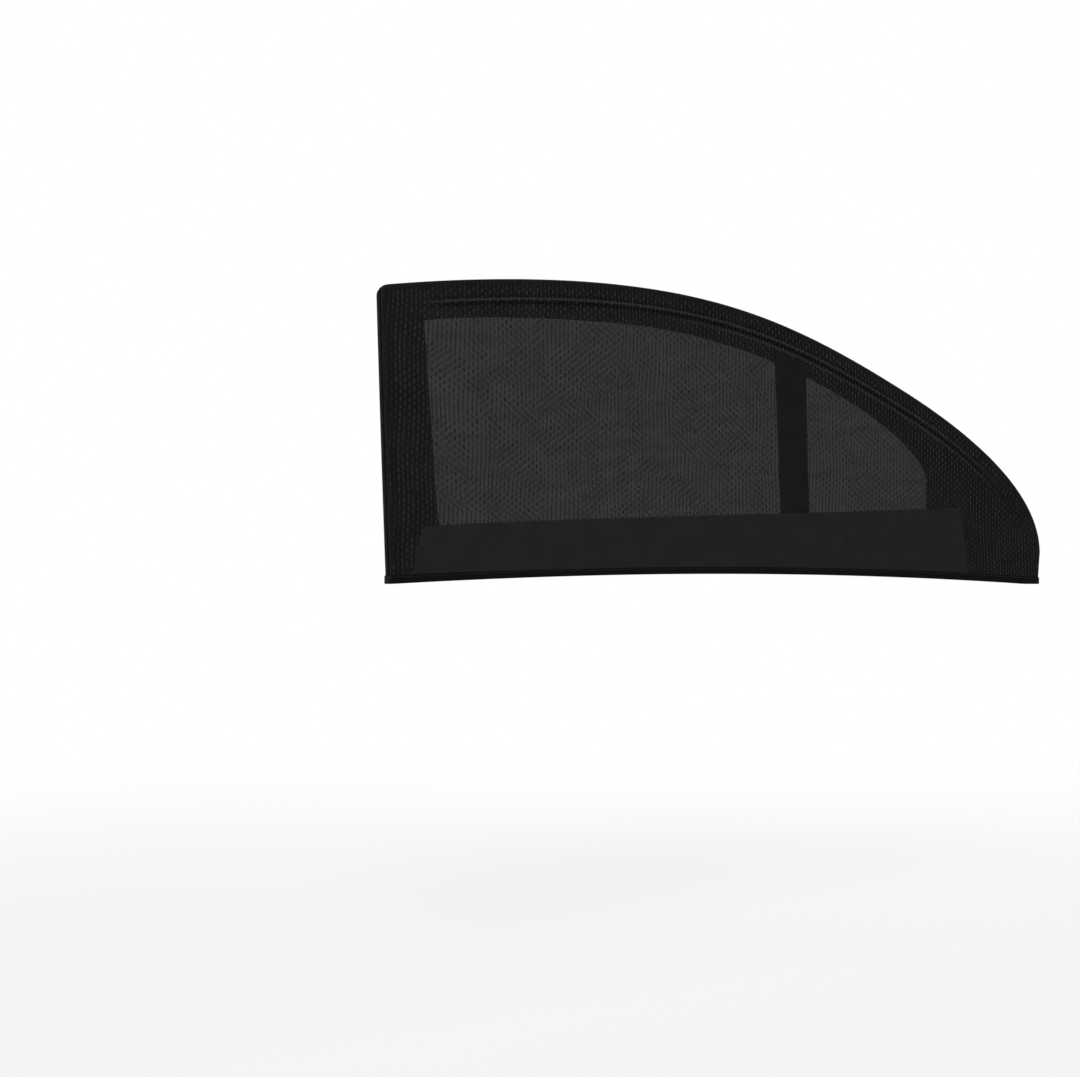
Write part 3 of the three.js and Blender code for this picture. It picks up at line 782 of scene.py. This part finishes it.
def corner_strip(name, node, side, cloth, corners, sizes, folds):
    """A strip between four corners: low rear, low front, high front, high rear."""
    low_rear, low_front, high_front, high_rear = [np.array(c, dtype=float) for c in corners]
    width, height = sizes
    u = spaced(width, folds[0], max(int(width / 8), 3))
    v = spaced(height, folds[1], max(int(height / 8), 3))
    uu, vv = np.meshgrid(u, v, indexing="ij")
    a, b = (uu / width)[..., None], (vv / height)[..., None]
    flat = (low_rear * (1 - a) + low_front * a) * (1 - b) + (high_rear * (1 - a) + high_front * a) * b
    from_end = np.minimum(uu, width - uu)
    from_side = np.minimum(vv, height - vv)
    rise = np.minimum(edge_profile(from_end, folds[0]), edge_profile(from_side, folds[1]))
    pucker = np.sin(2 * np.pi * uu / PUCKER_PITCH) * np.exp(-(from_side / PUCKER_REACH) ** 2)
    pucker += np.sin(2 * np.pi * vv / PUCKER_PITCH) * np.exp(-(from_end / PUCKER_REACH) ** 2)
    front = TAPE_LOW + 0.03 + rise * (1 + PUCKER_SHARE * pucker)
    x, z = flat[..., 0].ravel(), flat[..., 1].ravel()
    front_points = settle(x, side * np.minimum(front.ravel(), TAPE_HIGH + 0.1), z)
    back_points = settle(x, np.full(len(x), side * TAPE_LOW), z)
    rows, columns = uu.shape
    faces = grid_faces(rows, columns)
    count = rows * columns
    rim = [i * columns for i in range(rows)]
    rim += [(rows - 1) * columns + j for j in range(1, columns)]
    rim += [i * columns + columns - 1 for i in range(rows - 2, -1, -1)]
    rim += [j for j in range(columns - 2, 0, -1)]
    walls = [(a, b, b + count, a + count) for a, b in zip(rim, rim[1:] + rim[:1])]
    all_faces = [tuple(f) for f in faces] + [tuple(f[::-1] + count) for f in faces] + walls
    if side > 0:
        all_faces = [f[::-1] for f in all_faces]
    pattern = np.stack([x, z], axis=1)
    points = np.vstack([front_points, back_points])
    strip = make_piece(name, points, all_faces, [cloth], node, np.vstack([pattern, pattern]))
    return strip


def opening_top(x):
    upper = OPENING[OPENING[:, 1] > 140]
    return np.interp(x, upper[:, 0], upper[:, 1])


DIVIDER_FROM_FRONT = 504
DIVIDER_LEAN = 12
DIVIDER_WIDTH_BOTTOM, DIVIDER_WIDTH_TOP = 51, 57
DIVIDER_LAP = 3.5             # it runs this far over the facing
OUTER_DIVIDER_SHIFT = 26


def divider_corners(side):
    """The outer divider sits further forward, in line with the inner one from the camera's place."""
    rear = FRONT_X - DIVIDER_FROM_FRONT + (OUTER_DIVIDER_SHIFT if side > 0 else 0)
    front = rear + DIVIDER_WIDTH_BOTTOM
    rear_top = rear - DIVIDER_LEAN
    front_top = rear_top + DIVIDER_WIDTH_TOP
    return [
        (rear, band_top(rear) + SEWN_GAP),
        (front, band_top(front) + SEWN_GAP),
        (front_top, opening_top(front_top) + DIVIDER_LAP),
        (rear_top, opening_top(rear_top) + DIVIDER_LAP),
    ]


BAND_CORNERS = [
    (BAND_REAR_FOOT, HEM_HEIGHT + SEWN_GAP),
    (BAND_FRONT_FOOT, HEM_HEIGHT + SEWN_GAP),
    BAND_FRONT_TOP,
    BAND_REAR_TOP,
]
BAND_SIZE = (940.0, 90.0)
SIDES = {"inner": -1, "outer": 1}
dividers, bands = {}, {}
for side_name, side in SIDES.items():
    dividers[side_name] = corner_strip(
        f"{side_name}_divider", f"{side_name}_divider_strip", side, divider_tape,
        divider_corners(side), (54.0, 245.0), (FOLD, 3.0),
    )
    bands[side_name] = corner_strip(
        f"{side_name}_band", f"{side_name}_bottom_band", side, band_tape,
        BAND_CORNERS, BAND_SIZE, (FOLD, FOLD),
    )
print("divider reaches", round(divider_corners(-1)[3][1]), "mm up its rear side")

# %% [markdown]
# ## Elastic binding
# A narrow ribbed elastic covers the seam round the edge, and a wider one is folded over the net all
# round the mouth. Knitted elastic has fine ribs along its length and is very dark. The ribs are 0.9 mm
# apart on the real tape and are drawn 1.4 mm apart.

# %% Elastic binding
RIB = 1.4


def ribbed_elastic(name):
    cloth, tree, shader = new_cloth(name, 0.8)
    place = add_node(tree, "ShaderNodeAttribute", {"attribute_name": "pattern"})
    split = add_node(tree, "ShaderNodeSeparateXYZ", inputs={"Vector": place.outputs["Vector"]})
    turns = add_node(tree, "ShaderNodeMath", {"operation": "MULTIPLY"})
    tree.links.new(split.outputs["Y"], turns.inputs[0])
    turns.inputs[1].default_value = 2 * math.pi / (RIB * MM)
    ribs = add_node(tree, "ShaderNodeMath", {"operation": "SINE"})
    tree.links.new(turns.outputs["Value"], ribs.inputs[0])
    cross = add_node(tree, "ShaderNodeTexNoise", inputs={
        "Vector": place.outputs["Vector"], "Scale": 400.0, "Detail": 3.0,
    })
    colour = colour_ramp(tree, cross.outputs["Fac"], [(0.3, "#080809"), (0.7, "#0f0f11")])
    tree.links.new(colour, shader.inputs["Base Color"])
    bump = add_node(tree, "ShaderNodeBump", inputs={
        "Height": ribs.outputs["Value"], "Strength": 0.6, "Distance": 0.3 * MM,
    })
    tree.links.new(bump.outputs["Normal"], shader.inputs["Normal"])
    return cloth


elastic = ribbed_elastic("knitted_elastic_ribbed")


def lengths_along(line):
    steps = np.linalg.norm(np.diff(line, axis=0), axis=1)
    return np.concatenate([[0], np.cumsum(steps)])


def make_edge_binding():
    """Tape over the seam: a closed section of insets and depths, carried round the outline."""
    section = [
        (-0.35, -4.5), (-0.95, -4.35), (-1.15, -3.0), (-1.28, -1.5), (-1.3, 0.0), (-1.28, 1.5),
        (-1.15, 3.0), (-0.95, 4.35), (-0.35, 4.5), (-0.3, 2.0), (-0.3, -2.0),
    ]
    run = lengths_along(OUTLINE)
    lines = [ring(inset, HEM_HEIGHT + SEWN_GAP) for inset, _ in section]
    columns, rows = len(section), len(run)
    points = np.stack([
        settle(line[:, 0], np.full(rows, depth), line[:, 1])
        for line, (_, depth) in zip(lines, section)
    ], axis=1).reshape(-1, 3)
    pattern = np.stack([
        np.stack([run, np.full(rows, depth)], axis=1) for _, depth in section
    ], axis=1).reshape(-1, 2)
    faces = [tuple(f) for f in grid_faces(rows, columns, closed=True)]
    last = (rows - 1) * columns
    faces += [tuple(range(columns)), tuple(last + i for i in range(columns - 1, -1, -1))]
    binding = make_piece("edge_tape", points, faces, [elastic], "edge_binding", pattern)
    return binding, run[-1]


def mouth_loop(outset):
    """Plan of the mouth: a long rounded rectangle, as x and depth."""
    radius = ROLL + outset
    parts = []
    for end, turn in ((REAR_X, 180), (FRONT_X, 0)):
        centre_x = end + math.copysign(ROLL, -end)
        for sign in ((1, -1) if end < 0 else (-1, 1)):
            angles = np.radians(np.linspace(0, 90, 9))
            if (sign > 0) == (end < 0):
                angles = angles[::-1]
            x = centre_x + math.copysign(1, end) * radius * np.cos(angles)
            depth = sign * (WALL_DEPTH + radius * np.sin(angles))
            parts.append(np.stack([x, depth], axis=1))
    rear_high, rear_low, front_low, front_high = parts
    across = np.linspace(0, 1, 90)[1:-1, None]
    low_side = rear_low[-1] * (1 - across) + front_low[0] * across
    high_side = front_high[-1] * (1 - across) + rear_high[0] * across
    return np.vstack([rear_high, rear_low, low_side, front_low, front_high, high_side])


def make_hem_binding():
    section = [
        (0.35, 10.95), (0.9, 10.95), (1.2, 10.5), (1.3, 9.0), (1.3, 7.2), (1.3, 5.5), (1.3, 3.8),
        (1.3, 2.2), (1.15, 0.7), (0.6, 0.05), (-0.5, 0.0), (-1.6, 0.05), (-2.15, 0.7), (-2.3, 3.0),
        (-2.3, 8.0), (-2.15, 10.6), (-1.8, 10.95), (-1.35, 10.95), (-1.3, 1.1), (0.3, 1.1),
    ]
    base = mouth_loop(0.0)
    run = lengths_along(base)
    loops = [mouth_loop(outset) for outset, _ in section]
    columns, rows = len(section), len(base)
    across = np.cumsum([0, *[math.dist(a, b) for a, b in zip(section[:-1], section[1:])]])
    points = np.stack([
        settle(loop[:, 0], loop[:, 1], np.full(rows, height))
        for loop, (_, height) in zip(loops, section)
    ], axis=1).reshape(-1, 3)
    pattern = np.stack([np.stack([run, np.full(rows, t)], axis=1) for t in across], axis=1).reshape(-1, 2)
    faces = [tuple(f) for f in grid_faces(rows, columns, closed=True)]
    last = (rows - 1) * columns
    faces += [(last + i, i, (i + 1) % columns, last + (i + 1) % columns) for i in range(columns)]
    binding = make_piece("hem_tape", points, faces, [elastic], "hem_binding", pattern)
    return binding, run[-1]


edge_tape, edge_run = make_edge_binding()
hem_tape, hem_run = make_hem_binding()
print("edge tape", round(edge_run), "mm, hem tape", round(hem_run), "mm long")

# %% [markdown]
# ## Sewing thread
# Lockstitch in black polyester thread holds the strips and the bindings. Each stitch is a short raised
# bead of thread with a small gap before the next. The thread is 0.4 mm thick and is drawn 0.6 mm wide.

# %% Sewing thread
STITCH = 3.4
STITCH_GAP = 1.1
BEAD_CORNERS = [              # share of the stitch's length, and millimetres across and up
    (0.0, 0, 0.0), (0.22, -0.3, 0.05), (0.22, 0, 0.36), (0.22, 0.3, 0.05),
    (0.78, -0.3, 0.05), (0.78, 0, 0.36), (0.78, 0.3, 0.05), (1.0, 0, 0.0),
]
BEAD_FACES = [(0, 2, 1), (0, 3, 2), (1, 2, 5, 4), (2, 3, 6, 5), (4, 5, 7), (5, 6, 7), (0, 1, 4, 7, 6, 3)]
SEAM_MARGIN = 2.4             # from the strip's edge to its row of stitches
SEAM_DEPTH = TAPE_LOW + 0.78


def sewing_thread(name):
    cloth, tree, shader = new_cloth(name, 0.55, 0.1)
    place = add_node(tree, "ShaderNodeAttribute", {"attribute_name": "pattern"})
    twist = add_node(tree, "ShaderNodeTexWave", {"bands_direction": "DIAGONAL"}, {
        "Vector": place.outputs["Vector"], "Scale": 1 / (1.0 * MM), "Distortion": 0.5,
    })
    colour = colour_ramp(tree, twist.outputs["Fac"], [(0.2, "#161617"), (0.8, "#2a2a2b")])
    tree.links.new(colour, shader.inputs["Base Color"])
    bump = add_node(tree, "ShaderNodeBump", inputs={
        "Height": twist.outputs["Fac"], "Strength": 0.4, "Distance": 0.2 * MM,
    })
    tree.links.new(bump.outputs["Normal"], shader.inputs["Normal"])
    return cloth


thread = sewing_thread("polyester_sewing_thread")


def sew(line, outward):
    """Beads of thread along a line of x, depth and z; outward points away from the cloth."""
    run = lengths_along(line)
    count = int(run[-1] / (STITCH + STITCH_GAP))
    starts = np.arange(count) * (STITCH + STITCH_GAP) + STITCH_GAP / 2

    def at(places, values):
        return np.stack([np.interp(places, run, values[:, i]) for i in range(3)], axis=1)

    up = at(starts + STITCH / 2, outward)
    ahead = at(starts + STITCH, line) - at(starts, line)
    ahead /= np.linalg.norm(ahead, axis=1)[:, None]
    aside = np.cross(ahead, up)
    corners = []
    for along, across, high in BEAD_CORNERS:
        corners.append(at(starts + along * STITCH, line) + across * aside + high * up)
    return np.stack(corners, axis=1).reshape(-1, 3), count


def sewn_rows(name, rows):
    points, faces, patterns = [], [], []
    start = 0
    for line, outward in rows:
        row_points, count = sew(np.asarray(line, float), np.asarray(outward, float))
        points.append(row_points)
        each = len(BEAD_CORNERS)
        faces += [tuple(start + each * k + i for i in face) for k in range(count) for face in BEAD_FACES]
        patterns.append(row_points[:, [0, 2]])
        start += each * count
    flat = np.vstack(points)
    beads = settle(flat[:, 0], flat[:, 1], flat[:, 2])
    piece = make_piece(name, beads, faces, [thread], None, np.vstack(patterns))
    return piece


def on_face(path, side, depth):
    line = np.stack([path[:, 0], np.full(len(path), side * depth), path[:, 1]], axis=1)
    return line, np.tile([0.0, float(side), 0.0], (len(path), 1))


def straight(a, b, count=60):
    t = np.linspace(0, 1, count)[:, None]
    return np.asarray(a) * (1 - t) + np.asarray(b) * t


def inset_polygon(corners, margin):
    closed = np.vstack([corners[-1:], corners, corners[:1]])
    along = np.diff(closed, axis=0)
    along /= np.linalg.norm(along, axis=1)[:, None]
    normals = np.stack([-along[:, 1], along[:, 0]], axis=1)
    spread = 1 + (normals[:-1] * normals[1:]).sum(axis=1)
    return corners + (normals[:-1] + normals[1:]) * (margin / spread)[:, None]


for side_name, side in SIDES.items():
    band_inner = inset_polygon(np.array(BAND_CORNERS, dtype=float), SEAM_MARGIN)
    divider_inner = inset_polygon(np.array(divider_corners(side), dtype=float), SEAM_MARGIN)
    rows = [
        on_face(straight(band_inner[3], band_inner[2]), side, SEAM_DEPTH),
        on_face(straight(band_inner[0], band_inner[3], 12), side, SEAM_DEPTH),
        on_face(straight(band_inner[1], band_inner[2], 12), side, SEAM_DEPTH),
        on_face(straight(divider_inner[0], divider_inner[3], 30), side, SEAM_DEPTH),
        on_face(straight(divider_inner[1], divider_inner[2], 30), side, SEAM_DEPTH),
        on_face(straight(divider_inner[3], divider_inner[2], 6), side, SEAM_DEPTH),
    ]
    sewn_rows(f"{side_name}_strip_stitching", rows)


def hem_rows(height, outset):
    loop = mouth_loop(outset)
    loop = np.vstack([loop, loop[:1]])
    beyond = mouth_loop(outset + 1)
    outward = np.vstack([beyond, beyond[:1]]) - loop
    line = np.stack([loop[:, 0], loop[:, 1], np.full(len(loop), height)], axis=1)
    return line, np.stack([outward[:, 0], outward[:, 1], np.zeros(len(loop))], axis=1)


hem_seam = sewn_rows("hem_stitching", [hem_rows(8.6, 1.28)])

# %% [markdown]
# ## The sheets of cloth
# Every piece but the stitches is a sheet that was cut flat and stretched.

def flat_area(line):
    x, z = line[:, 0], line[:, 1]
    return abs((x * np.roll(z, -1) - z * np.roll(x, -1)).sum()) / 2 * MM * MM


OVER_THE_EDGE = 14.5 * MM     # net that goes round the roll and down to the seam
net_area = flat_area(OUTLINE) + lengths_along(OUTLINE)[-1] * MM * OVER_THE_EDGE
facing_area = flat_area(ring(11, HEM_HEIGHT)) - flat_area(OPENING)
band_area = flat_area(np.array(BAND_CORNERS, dtype=float))
areas = {"net": net_area, "facing": facing_area, "band": band_area}
print({name: round(area, 3) for name, area in areas.items()}, "square metres")

# %% [markdown]
# ## Floor, light and background
# A plain pale floor lies well below, because the shade hangs when it is in use. The background is white
# to the camera only. Two large soft lamps and a pale sky light the shade evenly.

# %% Floor and light
FLOOR_HEIGHT = -0.6
FLOOR_SIZE = 200
FADE_START, FADE_END = 0.9, 3.2     # metres from the shade between which the floor turns white


def seen_by_camera(tree):
    """1 where a ray comes from the camera, or from gloss or glass."""
    rays = add_node(tree, "ShaderNodeLightPath")
    first = add_node(tree, "ShaderNodeMath", {"operation": "MAXIMUM"})
    tree.links.new(rays.outputs["Is Camera Ray"], first.inputs[0])
    tree.links.new(rays.outputs["Is Glossy Ray"], first.inputs[1])
    second = add_node(tree, "ShaderNodeMath", {"operation": "MAXIMUM"})
    tree.links.new(first.outputs["Value"], second.inputs[0])
    tree.links.new(rays.outputs["Is Transmission Ray"], second.inputs[1])
    return second.outputs["Value"]


def white_sky(strength):
    world = bpy.data.worlds.new("white_sky")
    world.use_nodes = True
    tree = world.node_tree
    tree.nodes.clear()
    soft = add_node(tree, "ShaderNodeBackground", inputs={"Color": (1, 1, 1, 1), "Strength": strength})
    white = add_node(tree, "ShaderNodeBackground", inputs={"Color": (1, 1, 1, 1), "Strength": 1.0})
    mix = add_node(tree, "ShaderNodeMixShader", inputs={"Fac": seen_by_camera(tree)})
    tree.links.new(soft.outputs["Background"], mix.inputs[1])
    tree.links.new(white.outputs["Background"], mix.inputs[2])
    add_node(tree, "ShaderNodeOutputWorld", inputs={"Surface": mix.outputs["Shader"]})
    return world


def pale_floor():
    """White paint; to the camera it turns into the white background a few metres away."""
    floor = bpy.data.materials.new("painted_pale_floor")
    floor.use_nodes = True
    tree = floor.node_tree
    tree.nodes.clear()
    paint = add_node(tree, "ShaderNodeBsdfDiffuse", inputs={"Color": linear("#f2f2f2")})
    glow = add_node(tree, "ShaderNodeEmission", inputs={"Color": (1, 1, 1, 1), "Strength": 1.0})
    place = add_node(tree, "ShaderNodeNewGeometry")
    reach = add_node(tree, "ShaderNodeVectorMath", {"operation": "LENGTH"})
    tree.links.new(place.outputs["Position"], reach.inputs[0])
    fade = add_node(tree, "ShaderNodeMapRange", {"interpolation_type": "SMOOTHSTEP"}, {
        "Value": reach.outputs["Value"], "From Min": FADE_START, "From Max": FADE_END,
        "To Min": 0.55, "To Max": 1.0,
    })
    share = add_node(tree, "ShaderNodeMath", {"operation": "MULTIPLY"})
    tree.links.new(seen_by_camera(tree), share.inputs[0])
    tree.links.new(fade.outputs["Result"], share.inputs[1])
    mix = add_node(tree, "ShaderNodeMixShader", inputs={"Fac": share.outputs["Value"]})
    tree.links.new(paint.outputs["BSDF"], mix.inputs[1])
    tree.links.new(glow.outputs["Emission"], mix.inputs[2])
    add_node(tree, "ShaderNodeOutputMaterial", inputs={"Surface": mix.outputs["Shader"]})
    return floor


def soft_lamp(name, place, target, size, power):
    data = bpy.data.lights.new(name, "AREA")
    data.shape = "DISK"
    data.size = size
    data.energy = power
    lamp = bpy.data.objects.new(name, data)
    lamp.location = place
    lamp.rotation_euler = (Vector(target) - Vector(place)).to_track_quat("-Z", "Y").to_euler()
    bpy.context.collection.objects.link(lamp)
    return lamp


SHADE_MIDDLE = (0.0, 0.0, 0.2)
bpy.context.scene.world = white_sky(0.5)
soft_lamp("key_lamp", (-1.8, -2.6, 2.2), SHADE_MIDDLE, 1.8, 60.0)
soft_lamp("back_lamp", (1.6, 2.8, 2.0), SHADE_MIDDLE, 1.8, 60.0)

bpy.ops.mesh.primitive_grid_add(
    x_subdivisions=4, y_subdivisions=4, size=FLOOR_SIZE, location=(0, 0, FLOOR_HEIGHT),
)
floor = bpy.context.object
floor.name = "floor"
floor.data.materials.append(pale_floor())
bpy.context.scene.view_settings.view_transform = "Standard"
print("floor at", FLOOR_HEIGHT, "m")
